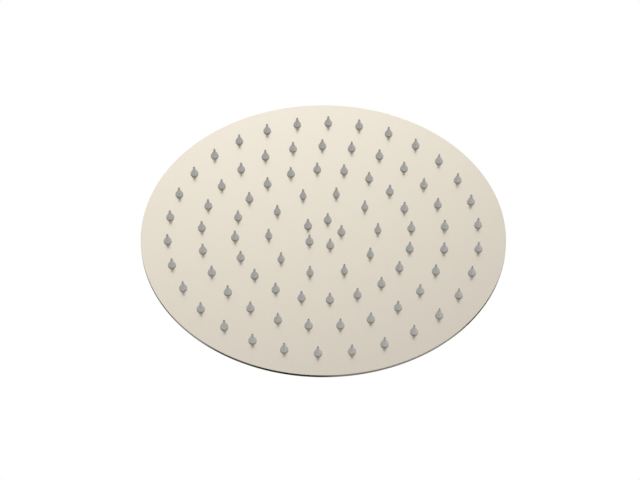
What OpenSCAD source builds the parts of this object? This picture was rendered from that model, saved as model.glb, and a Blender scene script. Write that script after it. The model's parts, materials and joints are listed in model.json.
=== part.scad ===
// Round rain shower head with single silicone nozzles, hung on a ball swivel with a G1/2 inlet.
// Millimetres, hanging as installed: +Z is up, and the origin is the centre of the inlet's mouth.

/* [Head sheets] */
// Diameter of the head
head_d = 250; // [220:1:300]
// Thickness of the drilled face sheet
face_t = 1.2; // [0.8:0.1:2]
// Thickness of the pressed back sheet
back_t = 0.9; // [0.7:0.1:1.5]
// Rounding of the outer edge
edge_round = 0.3; // [0.1:0.05:0.4]
// Width of the flat seam where the two sheets are welded
seam_w = 7; // [4:0.5:9]
// Bend radius of the step inside the seam
step_bend_r = 6; // [4:0.5:10]
// Steepest angle of the step
step_angle = 24; // [18:1:35]
// Slope of the shallow cone of the back
dish_angle = 3.9; // [2.5:0.1:6]
// Bend radius where the cone runs into the flat crown
crown_bend_r = 60; // [20:5:120]
// Diameter of the flat crown that the inlet boss stands on
crown_d = 48; // [46:1:70]

/* [Nozzles] */
// Radius of the innermost ring of nozzles
first_ring_r = 12.4; // [10:0.1:20]
// Radius of the second ring
second_ring_r = 37.5; // [28:0.5:45]
// Distance from the outermost ring to the edge of the head
outer_ring_inset = 18.4; // [16:0.1:30]
// Diameter of a nozzle at its base
nozzle_d = 5.5; // [4.2:0.1:6]
// Diameter at the base of the slimmer nozzles of the second ring
slim_nozzle_d = 5; // [4.2:0.1:6]
// Height of a nozzle above the face
nozzle_h = 6.5; // [5:0.1:9]
// Height of the straight band at its base
nozzle_band_h = 0.6; // [0.2:0.1:1.8]
// Height at which the cone ends and the tip begins
cone_h = 4.3; // [3:0.1:4.9]
// Diameter of the tip
tip_d = 1.6; // [1.5:0.1:2.4]
// Diameter of the water hole in the tip
jet_d = 0.9; // [0.6:0.1:1.1]
// Diameter of the nozzle's neck, where it passes through the face sheet
neck_hole_d = 3.4; // [3:0.1:3.8]
// Diameter of the flange behind the face sheet
nozzle_flange_d = 5; // [4.4:0.1:6]
// Thickness of that flange
nozzle_flange_t = 0.6; // [0.4:0.1:0.8]

/* [Spacer posts] */
// Number of posts between the sheets
post_count = 5; // [3:1:12]
// Diameter of a post
post_d = 5; // [3:0.5:7]

/* [Inlet] */
// Major diameter of the G1/2 inlet thread
inlet_thread_d = 20.96; // [20:0.02:21.4]
// Length of the inlet thread, with its chamfer
inlet_thread_l = 11.4; // [9:0.2:16]
// Chamfer at the inlet's mouth
inlet_chamfer = 0.4; // [0.2:0.1:0.5]
// Depth of the relief under the thread, where the washer lies
relief_depth = 0.4; // [0.2:0.1:0.7]
// Distance across the flats of the hexagon
hex_af = 26; // [25:0.5:30]
// Height of the hexagon
hex_h = 11; // [8:0.5:12]
// Diameter of the round barrel under the hexagon
barrel_d = 25; // [24:0.5:28]
// Diameter of the stem's upper end, which is pressed into the barrel
stem_end_d = 19.2; // [18.8:0.1:19.6]
// Thickness of the rubber washer
washer_t = 2; // [1.5:0.1:3]
// Hole of the washer
washer_hole_d = 11; // [9:0.5:13]
// Thickness of the filter screen
screen_t = 0.5; // [0.3:0.1:0.8]
// Spacing of the holes in the screen
screen_pitch = 1.6; // [1.5:0.1:2.4]
// Diameter of the holes in the screen
screen_hole_d = 1; // [0.6:0.1:1.2]

/* [Flow restrictor] */
// Diameter of the restrictor's housing
restrictor_d = 15; // [14.6:0.2:16]
// Height of the housing
restrictor_h = 5; // [4.6:0.2:7]
// Wall of the housing
restrictor_wall = 1.4; // [1:0.1:1.5]
// Thickness of the housing's floor
restrictor_floor_t = 1.4; // [1:0.1:1.6]
// Diameter of the core
core_d = 7; // [6.6:0.1:7.4]
// Height of the core
core_h = 2.6; // [2:0.1:3]
// Number of notches in the core and of holes in the floor
notch_count = 8; // [6:1:10]
// Diameter of the holes in the housing's floor
outlet_hole_d = 1.6; // [1:0.1:1.8]
// Section of the restrictor's O-ring
small_ring_section = 1.5; // [1.2:0.1:1.6]

/* [Ball swivel] */
// Diameter of the ball
ball_d = 22; // [21:0.5:24]
// Height cut off the ball's lower pole
ball_flat = 1.3; // [1.1:0.1:1.6]
// Diameter of the water bore through ball and neck
water_bore_d = 9; // [7:0.5:10]
// Diameter of the neck above the ball
neck_d = 14; // [13:0.5:14.5]
// Tilt each way about X and about Y
tilt_max = 12; // [8:0.5:13]
// Thickness of the nylon liner
liner_t = 1; // [0.8:0.1:1.4]
// Height of the liner above the middle of the ball
liner_h = 5; // [4:0.1:5.5]
// Diameter of the seat ring's outlet
seat_outlet_d = 11; // [10:0.5:12]
// Angle from the ball's lower pole to the ball O-ring
ball_ring_angle = 50; // [47:1:52]
// Section of the ball and seat O-rings
ring_section = 1.8; // [1.4:0.1:2]

/* [Boss and collar nut] */
// Diameter of the boss's outer thread
boss_thread_d = 30; // [29:0.5:32]
// Diameter of the bore that holds the seat ring
seat_bore_d = 24.8; // [24.8:0.1:26]
// Depth of the seat's floor below the middle of the ball
seat_depth = 12.5; // [12.3:0.1:15]
// Thickness of the boss's floor
boss_floor_t = 1.8; // [1.2:0.1:3]
// Diameter of the boss's flange
boss_flange_d = 42; // [40:0.5:46]
// Height of the flange's upright edge
boss_edge_h = 1; // [0.6:0.1:1.5]
// Diameter of the spigot that passes through the back sheet
spigot_d = 20; // [17:0.5:24]
// Diameter of the collar nut
nut_d = 35; // [34:0.5:38]
// Thickness of the nut's lip above the ball
nut_lip_t = 3; // [2:0.1:4]
// Chamfer of the nut's upper edge
nut_chamfer = 1.5; // [0.5:0.1:2]
// Number of grooves in the knurl
knurl_count = 48; // [36:2:80]
// Depth of the grooves
knurl_depth = 0.4; // [0.2:0.05:0.5]

/* [Clearances] */
// Gap between the ball, the liner and the nut
swivel_gap = 0.15; // [0.1:0.01:0.25]
// Gap between the seat ring and the boss that turns round it
running_gap = 0.08; // [0.05:0.01:0.1]
// Gap between pieces that are fixed to each other
fixed_gap = 0.05; // [0.02:0.01:0.1]
// Room between the neck or the barrel and the nut at full tilt
stop_room = 0.4; // [0.3:0.05:0.8]

/* [Hidden] */
$fn = 96;
cut_over = 1;
bend_steps = 8;

ring_counts = [5, 10, 20, 25, 30];
head_r = head_d / 2;
outer_ring_r = head_r - outer_ring_inset;
ring_pitch = (outer_ring_r - second_ring_r) / 3;
ring_radii = [
    first_ring_r,
    second_ring_r,
    second_ring_r + ring_pitch,
    second_ring_r + 2 * ring_pitch,
    outer_ring_r
];
tip_flare = 0.3;
tip_flare_h = 0.4;
jet_entry_d = 2.2;
jet_land = 1.2;

hex_chamfer = 1.2;
barrel_chamfer = 0.8;
neck_flare = 1.2;
pocket_floor_t = 1.6;
washer_play = 0.5;
relief_room = 0.6;
restrictor_play = 0.1;
notch_w = 0.9;
notch_depth = 0.7;

ball_r = ball_d / 2;
neck_r = neck_d / 2;
liner_in_r = ball_r + swivel_gap;
liner_out_r = liner_in_r + liner_t;
nut_ball_r = liner_out_r + swivel_gap;
liner_room = 0.2;
// Both tilts at their limits lean the head by more than one does
lean_max = acos(cos(tilt_max) * cos(tilt_max));
mouth_angle = lean_max + asin((neck_r + stop_room) / nut_ball_r);
mouth_r = nut_ball_r * sin(mouth_angle);
mouth_z = nut_ball_r * cos(mouth_angle);
nut_top = mouth_z + nut_lip_t;
nut_shoulder_z = -2.6;
nut_foot_chamfer = 0.5;
seat_room = 0.5;
seat_top_z = -liner_out_r * sin(tilt_max) - seat_room;
seat_low_z = -seat_depth + running_gap;
seat_r = seat_bore_d / 2 - running_gap;
seat_ring_rise = 2.12;
seat_ring_z = seat_low_z + seat_ring_rise;
boss_under_z = -seat_depth - boss_floor_t;
boss_flange_h = 3.6;
flange_top_z = boss_under_z + boss_flange_h;
flange_gap = 0.3;
nut_bottom_z = flange_top_z + flange_gap;
boss_outlet_d = seat_outlet_d + 2;
spigot_tail = 0.6;

function lifted(r, z) = z * cos(lean_max) + r * sin(lean_max);
neck_l = max(lifted(nut_d / 2 - nut_chamfer, nut_top), lifted(nut_d / 2, nut_top - nut_chamfer)) + stop_room;

// Heights in the part's own frame, from the inlet's mouth down
washer_seat_z = -inlet_thread_l - washer_t - relief_room;
restrictor_top_z = washer_seat_z - screen_t;
pocket_floor_z = restrictor_top_z - restrictor_h;
barrel_low_z = pocket_floor_z - pocket_floor_t;
ball_z = barrel_low_z - neck_l;
crown_z = ball_z + boss_under_z;

// The back sheet's middle line runs inwards from the seam: [radius, height, slope]
function last(list) = list[len(list) - 1];
function backwards(list) = [for (i = [len(list) - 1:-1:0]) list[i]];
function bend(p, slope, radius) =
    let (way = sign(slope - p[2]))
    [for (i = [1:bend_steps])
        let (s = p[2] + (slope - p[2]) * i / bend_steps)
        [
            p[0] - way * radius * (sin(s) - sin(p[2])),
            p[1] + way * radius * (cos(p[2]) - cos(s)),
            s
        ]
    ];
seam_end = [head_r - seam_w, 0, 0];
step_up = bend(seam_end, step_angle, step_bend_r);
step_over = bend(last(step_up), dish_angle, step_bend_r);
cone_foot = last(step_over);
cone_top_r = crown_d / 2 + crown_bend_r * sin(dish_angle);
cone_top = [cone_top_r, cone_foot[1] + (cone_foot[0] - cone_top_r) * tan(dish_angle), dish_angle];
crown_edge = bend(cone_top, 0, crown_bend_r);
crown_rise = last(crown_edge)[1];
crown_hole_r = spigot_d / 2 + fixed_gap;
sheet_line = concat(
    [seam_end],
    step_up,
    step_over,
    [cone_top],
    crown_edge,
    [[crown_hole_r, crown_rise, 0]]
);
function beside(line, d) = [for (p = line) [p[0] + d * sin(p[2]), p[1] + d * cos(p[2])]];
function edge_arc(z, way) = [for (i = [0:4])
    let (a = 90 * i / 4)
    [head_r - edge_round * (1 - cos(a)), z - way * edge_round * (1 - sin(a))]
];

seam_mid_z = crown_z - back_t / 2 - crown_rise;
face_top_z = seam_mid_z - back_t / 2;
face_z = face_top_z - face_t;
post_ring_r = (ring_radii[2] + ring_radii[3]) / 2;
post_top_z = seam_mid_z + cone_foot[1] + (cone_foot[0] - post_ring_r - post_d / 2) * tan(dish_angle)
    - back_t / 2 / cos(dish_angle);

// Shared shapes
module turned(points) {
    rotate_extrude() polygon(points);
}

module o_ring(middle_r, section) {
    rotate_extrude() translate([middle_r, 0]) circle(d = section, $fn = 32);
}

module bore(d, z_low, z_high) {
    translate([0, 0, z_low]) cylinder(d = d, h = z_high - z_low);
}

module round_the_axis(count, radius) {
    for (i = [0:count - 1]) rotate([0, 0, 360 * i / count]) translate([radius, 0, 0]) children();
}

// Inlet nut: hexagon and barrel with the inlet thread
module nut_hexagon() {
    corner_r = hex_af / 2 / cos(30);
    intersection() {
        translate([0, 0, -hex_h]) cylinder(r = corner_r, h = hex_h, $fn = 6);
        turned([
            [0, 0],
            [corner_r - hex_chamfer, 0],
            [corner_r + cut_over, -(hex_chamfer + cut_over) * tan(30)],
            [corner_r + cut_over, -hex_h + (hex_chamfer + cut_over) * tan(30)],
            [corner_r - hex_chamfer, -hex_h],
            [0, -hex_h]
        ]);
    }
}

module inlet_nut() {
    color("#c9bca6") difference() {
        union() {
            nut_hexagon();
            turned([
                [0, -hex_h / 2],
                [barrel_d / 2, -hex_h / 2],
                [barrel_d / 2, barrel_low_z + barrel_chamfer],
                [barrel_d / 2 - barrel_chamfer, barrel_low_z],
                [0, barrel_low_z]
            ]);
        }
        bore(inlet_thread_d, -inlet_thread_l, cut_over);
        bore(inlet_thread_d + 2 * relief_depth, washer_seat_z, -inlet_thread_l);
        translate([0, 0, -inlet_chamfer])
            cylinder(d1 = inlet_thread_d, d2 = inlet_thread_d + 4 * inlet_chamfer, h = 2 * inlet_chamfer);
        bore(stem_end_d + 2 * fixed_gap, barrel_low_z - cut_over, washer_seat_z + cut_over);
    }
}

// Ball stem: upper end with the restrictor's pocket, neck and ball
module ball_stem() {
    pocket_d = restrictor_d + 2 * restrictor_play;
    color("#c9bca6") difference() {
        union() {
            turned([
                [0, washer_seat_z],
                [stem_end_d / 2, washer_seat_z],
                [stem_end_d / 2, barrel_low_z],
                [neck_r + neck_flare, barrel_low_z],
                [neck_r, barrel_low_z - neck_flare],
                [neck_r, ball_z],
                [0, ball_z]
            ]);
            translate([0, 0, ball_z]) sphere(d = ball_d);
        }
        bore(pocket_d, pocket_floor_z, washer_seat_z + cut_over);
        bore(water_bore_d, ball_z - ball_d, pocket_floor_z + cut_over);
        bore(ball_d, ball_z - ball_d, ball_z - ball_r + ball_flat);
    }
}

// Pieces in the inlet
module inlet_washer() {
    color("#2b2b2b") difference() {
        bore(inlet_thread_d - 2 * washer_play, washer_seat_z, washer_seat_z + washer_t);
        bore(washer_hole_d, washer_seat_z - cut_over, washer_seat_z + washer_t + cut_over);
    }
}

module filter_screen() {
    row_h = screen_pitch * cos(30);
    open_r = (washer_hole_d - screen_hole_d) / 2;
    rows = floor(open_r / row_h);
    color("#b8b8b4") difference() {
        bore(restrictor_d, restrictor_top_z, washer_seat_z);
        for (row = [-rows:rows], i = [-rows - 1:rows + 1]) {
            x = (i + (row % 2 == 0 ? 0 : 0.5)) * screen_pitch;
            if (norm([x, row * row_h]) <= open_r)
                translate([x, row * row_h, 0])
                    bore(screen_hole_d, restrictor_top_z - cut_over, washer_seat_z + cut_over, $fn = 24);
        }
    }
}

cup_d = restrictor_d - 2 * restrictor_wall;
cup_floor_z = pocket_floor_z + restrictor_floor_t;
ring_groove_r = (core_d + small_ring_section) / 2 + restrictor_play;

module restrictor_housing() {
    color("#e8e6df") difference() {
        bore(restrictor_d, pocket_floor_z, restrictor_top_z);
        bore(cup_d, cup_floor_z, restrictor_top_z + cut_over);
        round_the_axis(notch_count, ring_groove_r)
            bore(outlet_hole_d, pocket_floor_z - cut_over, cup_floor_z + cut_over, $fn = 24);
    }
}

module restrictor_core() {
    color("#5f7f9c") difference() {
        bore(core_d, cup_floor_z, cup_floor_z + core_h);
        round_the_axis(notch_count, core_d / 2)
            translate([-notch_depth, -notch_w / 2, cup_floor_z - cut_over])
                cube([core_d, notch_w, core_h + 2 * cut_over]);
    }
}

module restrictor_o_ring() {
    color("#202020") translate([0, 0, cup_floor_z + small_ring_section / 2])
        o_ring(ring_groove_r, small_ring_section);
}

// Pieces round the ball, drawn from the middle of the ball
module ball_liner() {
    color("#f1efe6") translate([0, 0, ball_z]) intersection() {
        difference() {
            sphere(r = liner_out_r);
            sphere(r = liner_in_r);
        }
        cylinder(r = liner_out_r + cut_over, h = liner_h);
    }
}

ball_ring_out = ball_r + fixed_gap + ring_section / 2;
ball_ring_r = ball_ring_out * sin(ball_ring_angle);
ball_ring_z = -ball_ring_out * cos(ball_ring_angle);
seat_ring_r = seat_bore_d / 2 - fixed_gap - ring_section / 2;
groove_wall = ring_section + 2 * fixed_gap;

module ball_seat() {
    color("#dcdad2") translate([0, 0, ball_z]) difference() {
        bore(2 * seat_r, seat_low_z, seat_top_z);
        sphere(r = liner_in_r);
        bore(seat_outlet_d, seat_low_z - cut_over, 0);
        translate([0, 0, ball_ring_z]) o_ring(ball_ring_r, groove_wall);
        translate([0, 0, seat_ring_z - groove_wall / 2]) difference() {
            cylinder(r = seat_r + cut_over, h = groove_wall);
            cylinder(r = seat_ring_r - groove_wall / 2, h = groove_wall);
        }
    }
}

module ball_o_ring() {
    color("#202020") translate([0, 0, ball_z + ball_ring_z]) o_ring(ball_ring_r, ring_section);
}

module seat_o_ring() {
    color("#202020") translate([0, 0, ball_z + seat_ring_z]) o_ring(seat_ring_r, ring_section);
}

module knurl_outline() {
    polygon([for (i = [0:2 * knurl_count - 1])
        let (r = nut_d / 2 - (i % 2 == 0 ? 0 : knurl_depth), a = 180 * i / knurl_count)
        [r * cos(a), r * sin(a)]
    ]);
}

module collar_nut() {
    color("#c9bca6") translate([0, 0, ball_z]) difference() {
        intersection() {
            translate([0, 0, nut_bottom_z]) linear_extrude(nut_top - nut_bottom_z) knurl_outline();
            turned([
                [0, nut_top],
                [nut_d / 2 - nut_chamfer, nut_top],
                [nut_d / 2, nut_top - nut_chamfer],
                [nut_d / 2, nut_bottom_z + nut_foot_chamfer],
                [nut_d / 2 - nut_foot_chamfer, nut_bottom_z],
                [0, nut_bottom_z]
            ]);
        }
        sphere(r = nut_ball_r);
        bore(2 * (nut_ball_r + liner_room), nut_shoulder_z - cut_over, 0);
        translate([0, 0, mouth_z - cut_over])
            cylinder(
                r1 = mouth_r - cut_over * tan(lean_max),
                r2 = mouth_r + (nut_lip_t + cut_over) * tan(lean_max),
                h = nut_lip_t + 2 * cut_over
            );
        bore(boss_thread_d + 2 * fixed_gap, nut_bottom_z - cut_over, nut_shoulder_z);
    }
}

module inlet_boss() {
    color("#c9bca6") translate([0, 0, ball_z]) difference() {
        turned([
            [0, nut_shoulder_z],
            [boss_thread_d / 2, nut_shoulder_z],
            [boss_thread_d / 2, flange_top_z],
            [nut_d / 2 + flange_gap, flange_top_z],
            [boss_flange_d / 2, boss_under_z + boss_edge_h],
            [boss_flange_d / 2, boss_under_z],
            [spigot_d / 2, boss_under_z],
            [spigot_d / 2, boss_under_z - back_t - spigot_tail],
            [0, boss_under_z - back_t - spigot_tail]
        ]);
        bore(seat_bore_d, -seat_depth, cut_over);
        bore(boss_outlet_d, boss_under_z - back_t - spigot_tail - cut_over, 0);
    }
}

// Sheets of the head
module back_plate() {
    color("#cfc4b0") translate([0, 0, seam_mid_z]) turned(concat(
        [[head_r, -back_t / 2]],
        edge_arc(back_t / 2, 1),
        beside(sheet_line, back_t / 2),
        backwards(beside(sheet_line, -back_t / 2))
    ));
}

module spacer_posts() {
    color("#b9b2a4") round_the_axis(post_count, post_ring_r)
        bore(post_d, face_top_z, post_top_z, $fn = 48);
}

module face_plate() {
    color("#e0d6c4") difference() {
        translate([0, 0, face_z]) turned(concat(
            [[0, face_t], [0, 0]],
            backwards(edge_arc(0, -1)),
            [[head_r, face_t]]
        ));
        for (ring = [0:len(ring_counts) - 1])
            round_the_axis(ring_counts[ring], ring_radii[ring])
                bore(neck_hole_d + 2 * fixed_gap, face_z - cut_over, face_top_z + cut_over, $fn = 32);
    }
}

// One silicone nozzle, drawn tip up with the face at height zero
module nozzle(base_d, band_h) {
    inner_z = -face_t - nozzle_flange_t;
    turned([
        [jet_entry_d / 2, inner_z],
        [nozzle_flange_d / 2, inner_z],
        [nozzle_flange_d / 2, -face_t],
        [neck_hole_d / 2, -face_t],
        [neck_hole_d / 2, 0],
        [base_d / 2, 0],
        [base_d / 2, band_h],
        [(tip_d + tip_flare) / 2, cone_h],
        [tip_d / 2, cone_h + tip_flare_h],
        [tip_d / 2, nozzle_h],
        [jet_d / 2, nozzle_h],
        [jet_d / 2, nozzle_h - jet_land],
        [jet_entry_d / 2, band_h]
    ]);
}

module nozzle_ring(ring) {
    slim = ring == 1;
    color("#9e9c98") translate([0, 0, face_z]) mirror([0, 0, 1])
        round_the_axis(ring_counts[ring], ring_radii[ring])
            nozzle(slim ? slim_nozzle_d : nozzle_d, slim ? nozzle_band_h / 3 : nozzle_band_h, $fn = 32);
}

inlet_nut();
ball_stem();
inlet_washer();
filter_screen();
restrictor_housing();
restrictor_core();
restrictor_o_ring();
ball_liner();
ball_seat();
ball_o_ring();
seat_o_ring();
collar_nut();
inlet_boss();
back_plate();
spacer_posts();
face_plate();
nozzle_ring(0);  // nozzle_ring_1
nozzle_ring(1);  // nozzle_ring_2
nozzle_ring(2);  // nozzle_ring_3
nozzle_ring(3);  // nozzle_ring_4
nozzle_ring(4);  // nozzle_ring_5
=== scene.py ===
"""Looks of a thin round rain shower head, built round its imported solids."""

import json
import logging
import math
from collections.abc import Callable, Mapping, Sequence
from dataclasses import dataclass
from enum import Enum
from functools import cache
from typing import Any

import bmesh
import bpy
from bmesh.types import BMesh
from bpy.types import ID, Curve, Material, Node, NodeOutputs, NodeSocket, NodeTree, Object, World
from mathutils import Matrix, Vector


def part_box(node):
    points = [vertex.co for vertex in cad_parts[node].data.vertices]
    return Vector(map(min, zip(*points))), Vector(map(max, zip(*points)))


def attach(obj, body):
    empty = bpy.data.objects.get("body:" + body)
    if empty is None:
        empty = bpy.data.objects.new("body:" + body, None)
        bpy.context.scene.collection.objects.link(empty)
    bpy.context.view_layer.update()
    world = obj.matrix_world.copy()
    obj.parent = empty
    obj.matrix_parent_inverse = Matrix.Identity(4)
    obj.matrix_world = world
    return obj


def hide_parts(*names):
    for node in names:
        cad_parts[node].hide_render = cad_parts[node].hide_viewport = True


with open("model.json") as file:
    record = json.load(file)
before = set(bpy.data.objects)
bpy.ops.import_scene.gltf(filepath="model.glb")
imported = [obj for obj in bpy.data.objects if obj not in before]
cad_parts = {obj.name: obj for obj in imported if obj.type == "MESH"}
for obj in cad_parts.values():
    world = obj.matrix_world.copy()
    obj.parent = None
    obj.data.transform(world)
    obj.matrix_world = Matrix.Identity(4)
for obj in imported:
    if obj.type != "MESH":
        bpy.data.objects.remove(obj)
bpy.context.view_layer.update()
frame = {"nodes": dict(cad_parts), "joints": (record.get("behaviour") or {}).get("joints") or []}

MM = 0.001
SHARP_DEGREES = 32.0
log = logging.getLogger("shower_head")

Profile = list[tuple[float, float]]
Outline = Profile | Callable[[float], Profile]
Colour = tuple[float, float, float, float]


def level(node: str, end: int) -> float:
    """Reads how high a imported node's lower end (0) or upper end (1) lies, in millimetres."""
    return round(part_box(node)[end].z / MM, 4)


# Heights that the sub-assemblies share, in millimetres: both sides of the face sheet, its thickness,
# the floor under the inlet's washer, the lower end of the inlet nut and the middle of the ball
FACE_Z, SEAM_Z = level("face_plate", 0), level("face_plate", 1)
FACE_T = SEAM_Z - FACE_Z
SEAT_Z = level("inlet_washer", 0)
BARREL_Z = level("inlet_nut", 0)
BALL_Z = round(frame["joints"][0]["pos_m"][2] / MM, 4)


def linear(colour: str) -> Colour:
    """Turns an sRGB hex colour into the linear colour that shaders take.

    Args:
        colour: six hex digits after a hash.

    Returns:
        Red, green, blue and an alpha of one.
    """
    channels = [int(colour[i : i + 2], 16) / 255 for i in (1, 3, 5)]
    red, green, blue = (c / 12.92 if c <= 0.04045 else ((c + 0.055) / 1.055) ** 2.4 for c in channels)
    return red, green, blue, 1.0


WHITE = linear("#FFFFFF")


def add_node(
    tree: NodeTree, kind: str, inputs: Mapping[str | int, Any] | None = None, **settings: Any
) -> Node:
    """Adds a node, sets it and links it.

    Args:
        tree: the tree that gets the node.
        kind: the node's type.
        inputs: what goes into its inputs, by name or number: a value, a socket, or a node, which stands
            for its first output.
        settings: the node's own properties.

    Returns:
        The new node.
    """
    node = tree.nodes.new(kind)
    for name, value in settings.items():
        setattr(node, name, value)
    for key, value in (inputs or {}).items():
        source = value.outputs[0] if isinstance(value, Node) else value
        if isinstance(source, NodeSocket):
            tree.links.new(source, node.inputs[key])
        else:
            node.inputs[key].default_value = source
    return node


def shader_tree(owner: Material | World) -> NodeTree:
    """Empties the nodes of a new material or world.

    Args:
        owner: the material or world.

    Returns:
        Its tree.
    """
    owner.use_nodes = True
    owner.node_tree.nodes.clear()
    return owner.node_tree


def rounded(corners: Sequence[tuple[float, ...]], steps: int = 4) -> Profile:
    """Rounds the corners of a closed profile.

    On both sides of each rounding it puts one more point on the flat, so that the rounding's smooth
    shading doesn't run on over the flat. It stands off by a fifth of the rounding's radius, or by a
    quarter of the flat where that is less.

    Args:
        corners: radius and height of each corner in millimetres, and its rounding where it has one.
        steps: pieces that each rounding is drawn with.

    Returns:
        The profile's points.
    """
    places = [Vector(corner[:2]) for corner in corners]
    radii = [corner[2] if len(corner) > 2 else 0.0 for corner in corners]
    sides = [places[(i + 1) % len(places)] - here for i, here in enumerate(places)]
    halves = [(-sides[i - 1]).angle(sides[i]) / 2 for i in range(len(places))]
    reaches = [radius / math.tan(half) for radius, half in zip(radii, halves)]
    rooms = [side.length - reaches[i] - reaches[(i + 1) % len(reaches)] for i, side in enumerate(sides)]
    points: Profile = []
    for i, here in enumerate(places):
        radius, reach = radii[i], reaches[i]
        if radius <= 0:
            points.append(tuple(here))
            continue
        before, after = -sides[i - 1].normalized(), sides[i].normalized()
        centre = here + (before + after).normalized() * radius / math.sin(halves[i])
        start, end = before * reach + here - centre, after * reach + here - centre
        turn = start.angle_signed(end)
        points.append(tuple(here + before * (reach + min(radius / 5, rooms[i - 1] / 4))))
        for k in range(steps + 1):
            points.append(tuple(centre + Matrix.Rotation(-turn * k / steps, 2) @ start))
        points.append(tuple(here + after * (reach + min(radius / 5, rooms[i] / 4))))
    return points


def arc(radius: float, middle_z: float, start: float, end: float, steps: int) -> Profile:
    """Draws part of a circle centred on the axis, from one angle to another, in degrees from straight up."""
    angles = [math.radians(start + (end - start) * k / steps) for k in range(steps + 1)]
    return [(radius * math.sin(a), middle_z + radius * math.cos(a)) for a in angles]


def placed(name: str, data: ID) -> Object:
    """Makes an object at the origin and puts it in the scene.

    Args:
        name: its name.
        data: its mesh, curve or camera.

    Returns:
        The object.
    """
    made = bpy.data.objects.new(name, data)
    bpy.context.scene.collection.objects.link(made)
    return made


def smooth_piece(name: str, form: BMesh) -> Object:
    """Turns a form's faces outwards and makes it a smooth piece with sharp edges.

    Args:
        name: the piece's name.
        form: its form, in metres.

    Returns:
        The piece.
    """
    bmesh.ops.recalc_face_normals(form, faces=form.faces)
    mesh = bpy.data.meshes.new(name)
    form.to_mesh(mesh)
    form.free()
    mesh.polygons.foreach_set("use_smooth", [True] * len(mesh.polygons))
    mesh.set_sharp_from_angle(angle=math.radians(SHARP_DEGREES))
    return placed(name, mesh)


def turned(name: str, outline: Outline, segments: int = 192) -> Object:
    """Turns a closed profile round the Z axis into a closed piece.

    Args:
        name: the piece's name.
        outline: points of radius and height in millimetres, or a function that gives them for an angle.
        segments: steps round the axis.

    Returns:
        The piece.
    """
    form = bmesh.new()
    rows = []
    for s in range(segments):
        angle = math.tau * s / segments
        across, along = math.cos(angle), math.sin(angle)
        points = outline(angle) if callable(outline) else outline
        rows.append([form.verts.new((r * MM * across, r * MM * along, z * MM)) for r, z in points])
    for s in range(segments):
        row, beside = rows[s], rows[(s + 1) % segments]
        for k in range(len(row)):
            m = (k + 1) % len(row)
            form.faces.new((row[k], beside[k], beside[m], row[m]))
    bmesh.ops.remove_doubles(form, verts=form.verts, dist=0.0001 * MM)
    return smooth_piece(name, form)


def new_tree(name: str, **sockets: str) -> tuple[NodeTree, NodeOutputs]:
    """Starts a Geometry Nodes tree.

    Args:
        name: the tree's name.
        sockets: type of each named input.

    Returns:
        The tree and the sockets that give its inputs.
    """
    tree = bpy.data.node_groups.new(name, "GeometryNodeTree")
    for socket, kind in sockets.items():
        tree.interface.new_socket(name=socket, in_out="INPUT", socket_type="NodeSocket" + kind)
    tree.interface.new_socket(name="Geometry", in_out="OUTPUT", socket_type="NodeSocketGeometry")
    tree.is_modifier = True
    return tree, add_node(tree, "NodeGroupInput").outputs


def close_tree(tree: NodeTree, geometry: Node, port: NodeOutputs) -> None:
    """Raises a tree's result to its height and ends it in real geometry with its material.

    Args:
        tree: the tree.
        geometry: the node that its result comes from.
        port: the sockets that give its inputs.
    """
    up = add_node(tree, "ShaderNodeCombineXYZ", {2: port["Height"]})
    raised = add_node(tree, "GeometryNodeTransform", {"Geometry": geometry, "Translation": up})
    real = add_node(tree, "GeometryNodeRealizeInstances", {0: raised})
    dressed = add_node(tree, "GeometryNodeSetMaterial", {"Geometry": real, "Material": port["Material"]})
    add_node(tree, "NodeGroupOutput", {0: dressed})


def grown(name: str, tree: NodeTree, **inputs: Any) -> Object:
    """Runs a Geometry Nodes tree once and keeps its result as a plain piece.

    Args:
        name: the piece's name.
        tree: the tree.
        inputs: values for its inputs.

    Returns:
        The piece, without a modifier.
    """
    piece = placed(name, bpy.data.meshes.new(name))
    modifier = piece.modifiers.new("grown", "NODES")
    modifier.node_group = tree
    sockets = {s.name: s.identifier for s in tree.interface.items_tree if s.in_out == "INPUT"}
    for key, value in inputs.items():
        modifier[sockets[key]] = value
    graph = bpy.context.evaluated_depsgraph_get()
    mesh = bpy.data.meshes.new_from_object(piece.evaluated_get(graph), depsgraph=graph)
    piece.modifiers.clear()
    piece.data = mesh
    mesh.name = name
    return piece


@cache
def ring_tree() -> NodeTree:
    """Builds the tree that sets copies of a piece in a ring, each leaning a little its own way.

    Returns:
        The tree, which is built once.
    """
    sizes = dict.fromkeys(("Radius", "Height", "Lean"), "Float")
    tree, port = new_tree(
        "ring_of_copies", Piece="Object", Copies="Int", Seed="Int", **sizes, Material="Material"
    )
    ring = add_node(tree, "GeometryNodeMeshCircle", {"Vertices": port["Copies"], "Radius": port["Radius"]})
    index = add_node(tree, "GeometryNodeInputIndex")
    step = add_node(tree, "ShaderNodeMath", {0: math.tau, 1: port["Copies"]}, operation="DIVIDE")
    turn = add_node(tree, "ShaderNodeMath", {0: index, 1: step}, operation="MULTIPLY")
    back = add_node(tree, "ShaderNodeMath", {0: port["Lean"], 1: -1.0}, operation="MULTIPLY")
    leans = []
    for seed in (port["Seed"], add_node(tree, "ShaderNodeMath", {0: port["Seed"], 1: 50.0})):
        draw = {2: back, 3: port["Lean"], "ID": index, "Seed": seed}
        leans.append(add_node(tree, "FunctionNodeRandomValue", draw).outputs[1])
    angles = add_node(tree, "ShaderNodeCombineXYZ", {0: leans[0], 1: leans[1], 2: turn})
    rotation = add_node(tree, "FunctionNodeEulerToRotation", {0: angles})
    piece = add_node(tree, "GeometryNodeObjectInfo", {"Object": port["Piece"]}, transform_space="ORIGINAL")
    each = {"Points": ring, "Instance": piece.outputs["Geometry"], "Rotation": rotation}
    close_tree(tree, add_node(tree, "GeometryNodeInstanceOnPoints", each), port)
    return tree


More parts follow.
